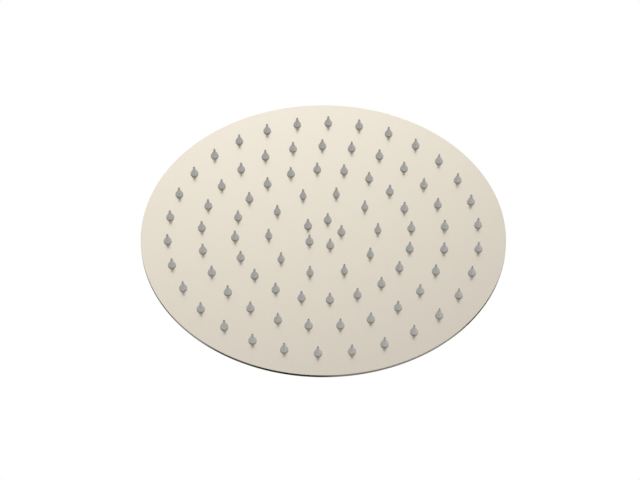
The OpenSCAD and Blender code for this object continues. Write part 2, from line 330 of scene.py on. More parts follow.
class Lay(Enum):
    """Direction of the fine marks in a finish."""

    EVEN = "even"
    TURNED = "turned"


@dataclass(frozen=True)
class Finish:
    """A surface with soft clouds in its tone and fine marks in its face.

    Attributes:
        name: its common name.
        slot: the record's material slot; not used.
        colour: its sRGB colour, on a metal that of a straight reflection.
        roughness: how far its reflection spreads.
        cloud_mm: size of the clouds.
        mark_mm: spacing of the marks.
        mark_depth_mm: their depth.
        shade: sRGB colour of the darker clouds; without it they keep a share of the colour.
        shade_share: that share.
        ior: its index of refraction.
        metallic: one on a metal.
        lay: direction of the marks.
        cloud_detail: how rich the clouds are.
        stray: how far the roughness strays, with the clouds on a metal and the marks elsewhere.
    """

    name: str
    slot: str
    colour: str
    roughness: float
    cloud_mm: float
    mark_mm: float
    mark_depth_mm: float
    shade: str = ""
    shade_share: float = 0.97
    ior: float = 1.5
    metallic: float = 0.0
    lay: Lay = Lay.EVEN
    cloud_detail: float = 2.0
    stray: float = 0.04

    @cache
    def material(self) -> Material:
        """Builds the finish's material.

        Returns:
            The material, which is built once.
        """
        material = bpy.data.materials.new(self.name)
        tree = shader_tree(material)
        place = add_node(tree, "ShaderNodeTexCoord").outputs["Object"]
        mark_place = place
        if self.lay is Lay.TURNED:
            parts = add_node(tree, "ShaderNodeSeparateXYZ", {0: place}).outputs
            flat = add_node(tree, "ShaderNodeCombineXYZ", {0: parts[0], 1: parts[1]})
            radius = add_node(tree, "ShaderNodeVectorMath", {0: flat}, operation="LENGTH").outputs["Value"]
            mark_place = add_node(tree, "ShaderNodeCombineXYZ", {0: radius, 2: parts[2]})
        clouds, marks = (
            add_node(tree, "ShaderNodeTexNoise", {"Vector": at, "Scale": 1 / (size * MM), "Detail": detail})
            for at, size, detail in (
                (place, self.cloud_mm, self.cloud_detail),
                (mark_place, self.mark_mm, 2.0),
            )
        )
        colour = linear(self.colour)
        shade = linear(self.shade) if self.shade else (*(c * self.shade_share for c in colour[:3]), 1.0)
        tone = add_node(tree, "ShaderNodeMix", {"Factor": clouds, 6: shade, 7: colour}, data_type="RGBA")
        low, high = self.roughness - self.stray, self.roughness + self.stray
        stray = {"Value": clouds if self.metallic else marks, "To Min": low, "To Max": high}
        gloss = add_node(tree, "ShaderNodeMapRange", stray)
        relief = {"Height": marks, "Distance": self.mark_depth_mm * MM, "Strength": 1.0}
        bump = add_node(tree, "ShaderNodeBump", relief)
        looks = {"Base Color": tone.outputs[2], "Roughness": gloss, "Normal": bump}
        looks |= {"Metallic": self.metallic, "IOR": self.ior}
        shader = add_node(tree, "ShaderNodeBsdfPrincipled", looks)
        add_node(tree, "ShaderNodeOutputMaterial", {"Surface": shader})
        return material


@dataclass(frozen=True)
class MetalFinish(Finish):
    """A metal surface with its plating."""

    cloud_mm: float = 28.0
    mark_mm: float = 0.5
    mark_depth_mm: float = 0.002
    metallic: float = 1.0
    cloud_detail: float = 3.0
    stray: float = 0.02


@dataclass(frozen=True)
class MouldedFinish(Finish):
    """A moulded plastic or rubber surface, whose marks are the grain that the mould leaves."""

    cloud_mm: float = 3.0
    mark_mm: float = 0.3
    mark_depth_mm: float = 0.01


# Satin champagne plating on stainless sheet: a warm, even metal that blurs what it reflects
SHEET = MetalFinish("satin_champagne_plated_sheet", "champagne_steel", "#C6BFB2", 0.25, mark_depth_mm=0.001)
# The sheets' cut edge, polished before plating: it mirrors the room more sharply than the flat sides
CUT_EDGE = MetalFinish("champagne_plated_polished_edge", "champagne_steel", "#C6BFB2", 0.14)
# The same plating on turned brass, a little glossier, with faint lines round the axis
BRASS = MetalFinish(
    "champagne_plated_turned_brass", "plated_brass", "#CCC4B6", 0.24, 12.0, 0.25, 0.003, lay=Lay.TURNED
)
# Plain stainless posts and wire: cooler and greyer
STEEL = MetalFinish("stainless_steel_wire_and_bar", "screen_steel", "#CFCDC9", 0.3, 6.0, 0.3, 0.002)
# Grey moulded silicone: soft, matt and slightly uneven in tone
SILICONE = MouldedFinish(
    "grey_moulded_silicone", "grey_silicone", "#B3B2B0", 0.5, 2.5, 0.25, 0.006, "#ACABA9", ior=1.41
)
# Black rubber of washer and O-rings: dark with a dull sheen
RUBBER = MouldedFinish("black_moulded_rubber", "black_rubber", "#2A2A2B", 0.6, shade="#202021", ior=1.52)
# White acetal: clean moulded plastic with a slight gloss
WHITE_ACETAL = MouldedFinish(
    "white_moulded_acetal", "white_acetal", "#E6E3DB", 0.42, 5.0, shade="#DCD9D0", ior=1.48
)
# Blue acetal of the restrictor's core: the same plastic, dyed through
BLUE_ACETAL = MouldedFinish(
    "blue_moulded_acetal", "blue_acetal", "#5D7F9E", 0.42, 5.0, shade="#547694", ior=1.48
)
# Natural nylon: milky and slightly yellow
NYLON = MouldedFinish(
    "natural_moulded_nylon", "natural_nylon", "#EBE6D6", 0.4, 5.0, shade="#E0DAC8", ior=1.53
)


def dress(piece: Object, finish: Finish) -> None:
    """Gives a piece one finish all over.

    Args:
        piece: the piece, or a node of the frame.
        finish: its finish.
    """
    if piece.material_slots:
        for slot in piece.material_slots:
            slot.material = finish.material()
    else:
        piece.data.materials.append(finish.material())


def enter(piece: Object, finish: Finish, body: str, *nodes: str) -> None:
    """Dresses a finished piece, hangs it on its body and hides the nodes that it stands for.

    Args:
        piece: the piece.
        finish: its finish.
        body: the body that it moves with.
        nodes: the nodes that it stands for.
    """
    dress(piece, finish)
    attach(piece, body)
    if nodes:
        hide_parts(*nodes)
    log.info("%s rides on %s, %d faces", piece.name, body, len(piece.data.polygons))


@dataclass
class HeadSheets:
    """The drilled face sheet and the pressed back sheet, in millimetres and degrees.

    Attributes:
        rings: number of holes and radius of each ring of nozzles.
    """

    rings: Sequence[tuple[int, float]]
    head_r: float = 125.0
    back_t: float = 0.9
    seam_w: float = 7.0
    step_angle: float = 24.0
    step_bend_r: float = 6.0
    dish_angle: float = 3.9
    crown_bend_r: float = 60.0
    crown_r: float = 24.0
    crown_hole_r: float = 10.05
    nozzle_hole_r: float = 1.75
    edge_r: float = 0.1
    seam_edge_r: float = 0.05
    rim_steps: int = 360
    hole_steps: int = 24
    bend_steps: int = 16

    def face_outline(self) -> Curve:
        """Draws the face sheet as a flat filled curve with rounded edges.

        Returns:
            The curve, lying at height zero.
        """
        loops = [(0.0, 0.0, self.head_r, self.rim_steps)]
        for count, ring_r in self.rings:
            for i in range(count):
                angle = math.tau * i / count
                place = ring_r * math.cos(angle), ring_r * math.sin(angle)
                loops.append((*place, self.nozzle_hole_r, self.hole_steps))
        curve = bpy.data.curves.new("face_outline", "CURVE")
        curve.dimensions = "2D"
        curve.fill_mode = "BOTH"
        curve.extrude = (FACE_T / 2 - self.edge_r) * MM
        curve.bevel_depth = self.edge_r * MM
        curve.bevel_resolution = 2
        curve.offset = -self.edge_r * MM
        for x, y, radius, steps in loops:
            spline = curve.splines.new("POLY")
            spline.points.add(steps - 1)
            spline.use_cyclic_u = True
            for k, point in enumerate(spline.points):
                angle = math.tau * k / steps
                point.co = ((x + radius * math.cos(angle)) * MM, (y + radius * math.sin(angle)) * MM, 0, 1)
        return curve

    def face(self) -> Object:
        """Builds the face sheet, with its outer edge sharp at the seam and rounded at the water side.

        Returns:
            The face sheet.
        """
        flat = placed("face_outline", self.face_outline())
        graph = bpy.context.evaluated_depsgraph_get()
        mesh = bpy.data.meshes.new_from_object(flat.evaluated_get(graph), depsgraph=graph)
        bpy.data.objects.remove(flat)
        mesh.transform(Matrix.Translation((0, 0, (FACE_Z + FACE_T / 2) * MM)))
        form = bmesh.new()
        form.from_mesh(mesh)
        bpy.data.meshes.remove(mesh)
        near = 1.5 * self.edge_r
        for corner in form.verts:
            reach = corner.co.xy.length
            if corner.co.z > (SEAM_Z - near) * MM and reach > (self.head_r - near) * MM:
                corner.co.xy *= self.head_r * MM / reach
        bmesh.ops.remove_doubles(form, verts=form.verts, dist=0.001 * MM)
        # One more row of points on the edge's flat part, beside its rounding
        foot = (0, 0, (FACE_Z + 1.2 * self.edge_r) * MM)
        everything = [*form.verts, *form.edges, *form.faces]
        bmesh.ops.bisect_plane(form, geom=everything, plane_co=foot, plane_no=(0, 0, 1))
        piece = smooth_piece("face_sheet", form)
        sides = piece.data.polygons
        sides.foreach_set("use_smooth", [abs(side.normal.z) < 0.999 for side in sides])
        return piece

    def middle_line(self) -> list[tuple[float, float, float]]:
        """Draws the back sheet's middle line from the rim inwards.

        Returns:
            Radius, height over the seam part's middle, and slope in radians, of each point.
        """
        step, dish = math.radians(self.step_angle), math.radians(self.dish_angle)
        line = [(self.head_r - self.seam_w, 0.0, 0.0)]
        for slope, bend_r in ((step, self.step_bend_r), (dish, self.step_bend_r), (0.0, self.crown_bend_r)):
            r, z, now = line[-1]
            if slope == 0.0:
                foot = self.crown_r + bend_r * math.sin(now)
                z += (r - foot) * math.tan(now)
                r = foot
                line.append((r, z, now))
            way = bend_r if slope > now else -bend_r
            for k in range(1, self.bend_steps + 1):
                s = now + (slope - now) * k / self.bend_steps
                inwards, up = way * (math.sin(s) - math.sin(now)), way * (math.cos(now) - math.cos(s))
                line.append((r - inwards, z + up, s))
        line.append((self.crown_hole_r, line[-1][1], 0.0))
        return line

    def beside(self, distance: float) -> Profile:
        """Draws the line that runs beside the back sheet's middle line.

        Args:
            distance: how far above the middle line it runs.

        Returns:
            Its points from the rim inwards.
        """
        middle = SEAM_Z + self.back_t / 2
        line = self.middle_line()
        return [(r + distance * math.sin(s), middle + z + distance * math.cos(s)) for r, z, s in line]

    def back(self) -> Object:
        """Builds the pressed back sheet.

        Returns:
            The back sheet.
        """
        half = self.back_t / 2
        corners = [
            (self.head_r, SEAM_Z, self.seam_edge_r),
            (self.head_r, SEAM_Z + self.back_t, self.edge_r),
            *self.beside(half),
            *reversed(self.beside(-half)),
        ]
        return turned("back_sheet", rounded(corners), self.rim_steps)

    def polish_edge(self, piece: Object) -> None:
        """Gives a sheet's cut edge its own finish.

        Args:
            piece: the sheet, already dressed.
        """
        steep, rim = 0.7, (self.head_r - 2 * self.edge_r) * MM
        piece.data.materials.append(CUT_EDGE.material())
        for side in piece.data.polygons:
            if abs(side.normal.z) < steep and side.center.xy.length > rim:
                side.material_index = 1

    def build(self) -> None:
        """Builds and enters both sheets."""
        for piece, node in ((self.face(), "face_plate"), (self.back(), "back_plate")):
            enter(piece, SHEET, "head", node)
            self.polish_edge(piece)


@dataclass
class NozzleRings:
    """The silicone nozzles, set in rings by Geometry Nodes, in millimetres and degrees."""

    counts: tuple[int, ...] = (5, 10, 20, 25, 30)
    radii: tuple[float, ...] = (12.4, 37.5, 60.5333, 83.5667, 106.6)
    slim_ring: int = 1
    base_r: float = 2.75
    slim_base_r: float = 2.5
    band_h: float = 0.6
    slim_band_h: float = 0.2
    cone_h: float = 4.3
    tip_r: float = 0.8
    tip_flare: float = 0.15
    tip_flare_h: float = 0.4
    height: float = 6.5
    jet_r: float = 0.45
    jet_l: float = 2.6
    bore_r: float = 1.1
    neck_r: float = 1.7
    flange_r: float = 2.5
    flange_t: float = 0.6
    lean: float = 0.5

    def rings(self) -> list[tuple[int, float]]:
        """Gives the number and radius of each ring."""
        return list(zip(self.counts, self.radii))

    def nozzle(self, slim: bool) -> Object:
        """Builds one nozzle with its foot at height zero and its tip below.

        Args:
            slim: whether it is the slimmer one of the second ring.

        Returns:
            The nozzle.
        """
        base = self.slim_base_r if slim else self.base_r
        band = self.slim_band_h if slim else self.band_h
        top = FACE_T + self.flange_t
        corners = [
            (self.bore_r, top),
            (self.flange_r, top, 0.15),
            (self.flange_r, FACE_T, 0.1),
            (self.neck_r, FACE_T),
            (self.neck_r, 0.0),
            (base, 0.0, 0.15),
            (base, -band, 0.2),
            (self.tip_r + self.tip_flare, -self.cone_h, 0.6),
            (self.tip_r, -self.cone_h - self.tip_flare_h, 0.4),
            (self.tip_r, -self.height, 0.2),
            (self.jet_r, -self.height, 0.08),
            (self.jet_r, -self.height + self.jet_l),
            (self.bore_r, -band),
        ]
        return turned("nozzle", rounded(corners, 2), 24)

    def build(self) -> None:
        """Builds and enters all rings."""
        for ring, (count, radius) in enumerate(self.rings()):
            pattern = self.nozzle(slim=ring == self.slim_ring)
            piece = grown(
                f"nozzles_ring_{ring + 1}",
                ring_tree(),
                Piece=pattern,
                Copies=count,
                Radius=radius * MM,
                Height=FACE_Z * MM,
                Lean=math.radians(self.lean),
                Seed=ring,
                Material=SILICONE.material(),
            )
            bpy.data.objects.remove(pattern)
            enter(piece, SILICONE, "head", f"nozzle_ring_{ring + 1}")


@dataclass
class Swivel:
    """Boss, knurled collar nut and ball stem, in millimetres and degrees.

    Heights of the nut and the boss count from the ball's middle.
    """

    ball_r: float = 11.0
    ball_flat: float = 1.3
    neck_r: float = 7.0
    neck_flare: float = 1.2
    ease_h: float = 0.8
    ease_angle: float = 0.5
    bore_r: float = 4.5
    pocket_r: float = 7.6
    pocket_h: float = 5.5
    stem_end_r: float = 9.6
    nut_r: float = 17.5
    nut_top: float = 10.251
    nut_low: float = -10.4
    shoulder: float = -2.6
    nut_chamfer: float = 1.5
    foot_chamfer: float = 0.5
    nut_thread_r: float = 15.05
    nut_socket_r: float = 12.5
    nut_ball_r: float = 12.3
    mouth_r: float = 9.93758
    mouth_z: float = 7.251
    mouth_angle: float = 16.9081
    knurl_r: float = 17.1
    knurl_top: float = 7.4
    knurl_low: float = -8.7
    knurl_slope: float = 0.4
    rib_count: int = 48
    rib_run: float = 0.5
    rib_root: float = 0.1
    boss_low: float = -14.3
    boss_gap: float = 0.3
    boss_thread_r: float = 15.0
    socket_r: float = 12.4
    socket_low: float = -12.5
    boss_shoulder_r: float = 17.8
    flange_r: float = 21.0
    flange_h: float = 1.0
    spigot_r: float = 10.0
    spigot_l: float = 1.5
    outlet_r: float = 6.5

    def from_ball(self, corners: Sequence[tuple[float, ...]]) -> Profile:
        """Rounds a profile whose heights count from the ball's middle, and puts it in its place."""
        return rounded([(r, BALL_Z + z, *rounding) for r, z, *rounding in corners])

    def boss(self) -> Object:
        """Builds the threaded boss with its flange and the spigot that fills the crown's hole.

        Returns:
            The boss.
        """
        flange_top = self.nut_low - self.boss_gap
        spigot_low = self.boss_low - self.spigot_l
        corners = [
            (self.socket_r, self.shoulder, 0.3),
            (self.boss_thread_r, self.shoulder, 0.5),
            (self.boss_thread_r, flange_top, 0.2),
            (self.boss_shoulder_r, flange_top, 0.4),
            (self.flange_r, self.boss_low + self.flange_h, 0.6),
            (self.flange_r, self.boss_low),
            (self.spigot_r, self.boss_low),
            (self.spigot_r, spigot_low, 0.2),
            (self.outlet_r, spigot_low, 0.2),
            (self.outlet_r, self.socket_low, 0.2),
            (self.socket_r, self.socket_low, 0.2),
        ]
        return turned("boss", self.from_ball(corners))

    def nut(self) -> Object:
        """Builds the collar nut without its ribs.

        Returns:
            The nut.
        """
        r, foot = self.nut_r, self.foot_chamfer
        lip = self.mouth_r + (self.nut_top - self.mouth_z) * math.tan(math.radians(self.mouth_angle))
        mouth = math.degrees(math.atan2(self.mouth_r, self.mouth_z))
        corners = [
            (lip, self.nut_top, 0.35),
            (r - self.nut_chamfer, self.nut_top, 0.5),
            (r, self.nut_top - self.nut_chamfer, 0.5),
            (r, self.knurl_top, 0.15),
            (self.knurl_r, self.knurl_top - self.knurl_slope, 0.15),
            (self.knurl_r, self.knurl_low + self.knurl_slope, 0.15),
            (r, self.knurl_low, 0.15),
            (r, self.nut_low + foot, 0.25),
            (r - foot, self.nut_low, 0.25),
            (self.nut_thread_r, self.nut_low, 0.2),
            (self.nut_thread_r, self.shoulder),
            (self.nut_socket_r, self.shoulder),
            (self.nut_socket_r, 0.0),
            *arc(self.nut_ball_r, 0.0, 90, mouth + 1, 12),
            (self.mouth_r, self.mouth_z, 0.15),
        ]
        return turned("collar_nut_body", self.from_ball(corners))

    def rib(self) -> Object:
        """Builds one rib of the knurl, standing on the +X side of the origin.

        Returns:
            The rib.
        """
        # Half of its section: the place across it, and the rise as a share of the full one
        half_section = [(-0.85, -self.rib_root), (-0.85, 0.0), (-0.46, 0.8), (-0.16, 1.0)]
        section = half_section + [(-y, rise) for y, rise in reversed(half_section)]
        end = (self.knurl_top - self.knurl_low) / 2 - self.knurl_slope
        full = self.nut_r - self.knurl_r
        form = bmesh.new()
        rows = []
        for z, share in ((-end, 0.0), (self.rib_run - end, 1.0), (end - self.rib_run, 1.0), (end, 0.0)):
            steps = [(full * rise * (share if rise > 0 else 1), y) for y, rise in section]
            rows.append([form.verts.new((x * MM, y * MM, z * MM)) for x, y in steps])
        for row, above in zip(rows, rows[1:]):
            for k in range(len(row)):
                m = (k + 1) % len(row)
                form.faces.new((row[k], row[m], above[m], above[k]))
        form.faces.new(rows[0])
        form.faces.new(rows[-1])
        return smooth_piece("rib", form)

    def stem(self) -> Object:
        """Builds the ball stem as one turned piece.

        Returns:
            The stem.
        """
        joint_z = math.sqrt(self.ball_r**2 - self.neck_r**2)
        foot_z = self.ball_flat - self.ball_r
        start = math.degrees(math.atan2(self.neck_r, joint_z))
        end = math.degrees(math.acos(foot_z / self.ball_r))
        corners = [
            (self.pocket_r, SEAT_Z, 0.2),
            (self.stem_end_r, SEAT_Z, 0.2),
            (self.stem_end_r, BARREL_Z, 0.3),
            (self.neck_r + self.neck_flare, BARREL_Z, 0.2),
            (self.neck_r, BARREL_Z - self.neck_flare, 1.2),
            (self.neck_r, BALL_Z + joint_z + self.ease_h),
            *arc(self.ball_r, BALL_Z, start + self.ease_angle, end, 40),
            (self.bore_r, BALL_Z + foot_z, 0.3),
            (self.bore_r, SEAT_Z - self.pocket_h, 0.2),
            (self.pocket_r, SEAT_Z - self.pocket_h, 0.2),
        ]
        return turned("stem_with_ball", rounded(corners))

    def build(self) -> None:
        """Builds and enters boss, nut, ribs and stem."""
        enter(self.boss(), BRASS, "head", "inlet_boss")
        enter(self.nut(), BRASS, "head", "collar_nut")
        rib = self.rib()
        ribs = grown(
            "collar_nut_ribs",
            ring_tree(),
            Piece=rib,
            Copies=self.rib_count,
            Radius=self.knurl_r * MM,
            Height=(BALL_Z + (self.knurl_top + self.knurl_low) / 2) * MM,
            Material=BRASS.material(),
        )
        bpy.data.objects.remove(rib)
        enter(ribs, BRASS, "head")
        enter(self.stem(), BRASS, "stem", "ball_stem")


@dataclass
class Inlet:
    """The inlet nut with its thread and washer, in millimetres and degrees."""

    across_flats: float = 26.0
    corner_r: float = 14.75
    shoulder_r: float = 13.81
    shoulder_angle: float = 30.0
    hex_h: float = 11.0
    barrel_r: float = 12.5
    barrel_chamfer: float = 0.8
    relief_r: float = 10.88
    stem_hole_r: float = 9.65
    thread_r: float = 10.48
    thread_mouth: float = -0.4
    thread_end: float = -11.4
    pitch: float = 1.814
    ridge_h: float = 1.16
    ridge_bite: float = 0.04
    ridge_root: float = 0.94
    ridge_crest: float = 0.16
    ridge_start: float = -10.9
    turns: float = 5.4
    washer_r: float = 9.98
    washer_hole_r: float = 5.5
    washer_t: float = 2.0

    def hexagon_r(self, angle: float) -> float:
        """Works out the hexagon's radius in a direction in radians, with its corners eased."""
        sector = (angle + math.pi / 6) % (math.pi / 3) - math.pi / 6
        return min(self.across_flats / 2 / math.cos(math.pi / 6 - abs(sector)), self.corner_r)

    def nut_outline(self, angle: float) -> Profile:
        """Draws the inlet nut's profile.

        Args:
            angle: the direction, in radians.

        Returns:
            The profile in that direction.
        """
        r = self.hexagon_r(angle)
        drop = max(0.0, r - self.shoulder_r) * math.tan(math.radians(self.shoulder_angle))
        inner = min(self.shoulder_r, r - 0.45)
        # Chamfer at each end of the hexagon, from its flat end outwards: radius, and depth below the end
        chamfer = [(inner - 0.6, 0.0), (inner, 0.04), (r - 0.12, drop + 0.1), (r, drop + 0.3)]
        corners = [
            (self.relief_r, 0.0, 0.1),
            *((x, -depth) for x, depth in chamfer),
            *((x, depth - self.hex_h) for x, depth in reversed(chamfer)),
            (self.barrel_r, -self.hex_h, 0.25),
            (self.barrel_r, BARREL_Z + self.barrel_chamfer, 0.3),
            (self.barrel_r - self.barrel_chamfer, BARREL_Z, 0.3),
            (self.stem_hole_r, BARREL_Z, 0.15),
            (self.stem_hole_r, SEAT_Z),
            (self.relief_r, SEAT_Z),
            (self.relief_r, self.thread_end),
            (self.thread_r, self.thread_end),
            (self.thread_r, self.thread_mouth),
        ]
        return rounded(corners)

    def thread_tree(self) -> NodeTree:
        """Builds the tree that winds a thread's ridge round the Z axis, fading out at both ends.

        Returns:
            The tree.
        """
        sizes = dict.fromkeys(("Radius", "Pitch", "Turns", "Depth", "Root", "Crest", "Height"), "Float")
        tree, port = new_tree("wound_thread", **sizes, Material="Material")
        rise, root, crest = (
            add_node(tree, "ShaderNodeMath", {0: port["Pitch"], 1: port[by]}, operation="MULTIPLY")
            for by in ("Turns", "Root", "Crest")
        )
        spiral = {"Resolution": 96, "Rotations": port["Turns"], "Height": rise}
        spiral |= {"Start Radius": port["Radius"], "End Radius": port["Radius"]}
        helix = add_node(tree, "GeometryNodeCurveSpiral", spiral)
        upright = add_node(tree, "GeometryNodeSetCurveNormal", {"Curve": helix}, mode="Z_UP")
        along = add_node(tree, "GeometryNodeSplineParameter")
        left = add_node(tree, "ShaderNodeMath", {0: 1.0, 1: along}, operation="SUBTRACT")
        nearest = add_node(tree, "ShaderNodeMath", {0: along, 1: left}, operation="MINIMUM")
        fade = add_node(tree, "ShaderNodeMapRange", {"Value": nearest, "From Max": 0.05, "To Min": 0.15})
        section = {"Height": port["Depth"], "Bottom Width": root, "Top Width": crest, "Offset": 0.0}
        profile = add_node(tree, "GeometryNodeCurvePrimitiveQuadrilateral", section, mode="TRAPEZOID")
        sweep = {"Curve": upright, "Profile Curve": profile, "Scale": fade, "Fill Caps": True}
        close_tree(tree, add_node(tree, "GeometryNodeCurveToMesh", sweep), port)
        return tree

    def washer(self) -> Object:
        """Builds the rubber washer.

        Returns:
            The washer.
        """
        top = SEAT_Z + self.washer_t
        corners = [(self.washer_hole_r, SEAT_Z, 0.3), (self.washer_r, SEAT_Z, 0.3)]
        corners += [(self.washer_r, top, 0.4), (self.washer_hole_r, top, 0.4)]
        return turned("washer", rounded(corners), 96)

    def build(self) -> None:
        """Builds and enters nut, thread and washer."""
        enter(turned("inlet_nut_body", self.nut_outline, 216), BRASS, "stem", "inlet_nut")
        thread = grown(
            "inlet_thread",
            self.thread_tree(),
            Radius=(self.thread_r - self.ridge_h / 2 + self.ridge_bite) * MM,
            Pitch=self.pitch * MM,
            Turns=self.turns,
            Depth=self.ridge_h * MM,
            Root=self.ridge_root,
            Crest=self.ridge_crest,
            Height=self.ridge_start * MM,
            Material=BRASS.material(),
        )
        enter(thread, BRASS, "stem")
        enter(self.washer(), RUBBER, "stem", "inlet_washer")


@dataclass
class FilterScreen:
    """The woven steel screen under the washer, in millimetres."""

    mesh_r: float = 7.3
    wire_r: float = 0.12
    spacing: float = 0.9
    wires: int = 16
    rim_r: float = 7.5
    rim_hole_r: float = 6.5
    rim_h: float = 0.5

    def wire_tree(self) -> NodeTree:
        """Builds the tree that weaves one layer of wires, clipped to a disc.

        Returns:
            The tree.
        """
        sizes = dict.fromkeys(("Radius", "Wire", "Spacing", "Turn", "Height"), "Float")
        tree, port = new_tree("woven_wires", **sizes, Wires="Int", Material="Material")
        # Straight wires side by side, centred on the axis
        near = add_node(tree, "ShaderNodeMath", {0: port["Radius"], 1: -1.0}, operation="MULTIPLY")
        ends = [add_node(tree, "ShaderNodeCombineXYZ", {0: x}) for x in (near, port["Radius"])]
        line = add_node(tree, "GeometryNodeCurvePrimitiveLine", {"Start": ends[0], "End": ends[1]})
        fine = add_node(tree, "GeometryNodeResampleCurve", {"Curve": line, "Count": 98})
        first = port["Wires"]
        for operation, by in (("MULTIPLY", -0.5), ("ADD", 0.5), ("MULTIPLY", port["Spacing"])):
            first = add_node(tree, "ShaderNodeMath", {0: first, 1: by}, operation=operation)
        start, stride = (add_node(tree, "ShaderNodeCombineXYZ", {1: y}) for y in (first, port["Spacing"]))
        row = {"Count": port["Wires"], "Start Location": start, "Offset": stride}
        places = add_node(tree, "GeometryNodeMeshLine", row)
        rows = add_node(tree, "GeometryNodeInstanceOnPoints", {"Points": places, "Instance": fine})
        wires = add_node(tree, "GeometryNodeRealizeInstances", {0: rows})
        # What lies outside the disc is cut off
        here = add_node(tree, "GeometryNodeInputPosition")
        reach = add_node(tree, "ShaderNodeVectorMath", {0: here}, operation="LENGTH").outputs["Value"]
        limit = {0: reach, 1: port["Radius"]}
        outside = add_node(tree, "FunctionNodeCompare", limit, operation="GREATER_THAN")
        clipped = add_node(tree, "GeometryNodeDeleteGeometry", {"Geometry": wires, "Selection": outside})
        # Each wire swings over one crossing wire and under the next
        parts = add_node(tree, "ShaderNodeSeparateXYZ", {0: here}).outputs
        swing = add_node(tree, "ShaderNodeMath", {0: parts[0], 1: parts[1]})
        wave = (("DIVIDE", port["Spacing"]), ("MULTIPLY", -math.pi), ("SINE", 0), ("MULTIPLY", port["Wire"]))
        for operation, by in wave:
            swing = add_node(tree, "ShaderNodeMath", {0: swing, 1: by}, operation=operation)
        offset = add_node(tree, "ShaderNodeCombineXYZ", {2: swing})
        waved = add_node(tree, "GeometryNodeSetPosition", {"Geometry": clipped, "Offset": offset})
        wire = {"Resolution": 6, "Radius": port["Wire"]}
        section = add_node(tree, "GeometryNodeCurvePrimitiveCircle", wire)
        sweep = {"Curve": waved, "Profile Curve": section, "Fill Caps": True}
        tubes = add_node(tree, "GeometryNodeCurveToMesh", sweep)
        turn = add_node(tree, "ShaderNodeCombineXYZ", {2: port["Turn"]})
        rotation = add_node(tree, "FunctionNodeEulerToRotation", {0: turn})
        layer = add_node(tree, "GeometryNodeTransform", {"Geometry": tubes, "Rotation": rotation})
        close_tree(tree, layer, port)
        return tree

    def rim(self) -> Object:
        """Builds the folded rim that holds the wires.

        Returns:
            The rim.
        """
        inner, outer, low = self.rim_hole_r, self.rim_r, SEAT_Z - self.rim_h
        places = ((inner, low), (outer, low), (outer, SEAT_Z), (inner, SEAT_Z))
        return turned("screen_rim", rounded([(*place, 0.15) for place in places], 3), 96)

    def build(self) -> None:
        """Builds and enters the rim and both layers of wires."""
        enter(self.rim(), STEEL, "stem", "filter_screen")
        tree = self.wire_tree()
        for name, turn in (("screen_warp", 0.0), ("screen_weft", math.pi / 2)):
            layer = grown(
                name,
                tree,
                Radius=self.mesh_r * MM,
                Wire=self.wire_r * MM,
                Spacing=self.spacing * MM,
                Wires=self.wires,
                Turn=turn,
                Height=(SEAT_Z - self.rim_h / 2) * MM,
                Material=STEEL.material(),
            )
            enter(layer, STEEL, "stem")


@dataclass
class HiddenPieces:
    """Nodes inside the head and the inlet that keep their own solids."""

    finishes: tuple[tuple[str, Finish], ...] = (
        ("restrictor_housing", WHITE_ACETAL),
        ("restrictor_core", BLUE_ACETAL),
        ("restrictor_o_ring", RUBBER),
        ("ball_liner", NYLON),
        ("ball_seat", WHITE_ACETAL),
        ("ball_o_ring", RUBBER),
        ("seat_o_ring", RUBBER),
        ("spacer_posts", STEEL),
    )

    def dress(self) -> None:
        """Gives each node its finish."""
        for node, finish in self.finishes:
            dress(frame["nodes"][node], finish)
            log.info("%s keeps its solid, in %s", node, finish.name)


@dataclass(frozen=True)
class Grade:
    """A brightness that goes from low at the start to high at the end."""

    start: float
    end: float
    low: float
    high: float
    blend: str = "SMOOTHSTEP"

    def shade(self, tree: NodeTree, glow: Node | float, place: NodeSocket) -> Node:
        """Multiplies a glow by the brightness at each place.

        Args:
            tree: the shader's tree.
            glow: the glow.
            place: where each point lies between start and end.

        Returns:
            The node that gives the product.
        """
        bounds = {0: place, 1: self.start, 2: self.end, 3: self.low, 4: self.high}
        share = add_node(tree, "ShaderNodeMapRange", bounds, interpolation_type=self.blend)
        return add_node(tree, "ShaderNodeMath", {0: glow, 1: share}, operation="MULTIPLY")


@dataclass(frozen=True)
class DarkPart:
    """A part of the room that keeps only a share of its light.

    It does so within the inner angle of its direction, and up to the outer one it fades, in degrees.
    """

    way: tuple[float, float, float]
    inner_angle: float
    outer_angle: float
    share: float

    def grade(self) -> Grade:
        """Gives its light over the cosine of the angle from its middle."""
        outer, inner = (math.cos(math.radians(angle)) for angle in (self.outer_angle, self.inner_angle))
        return Grade(outer, inner, 1.0, self.share)


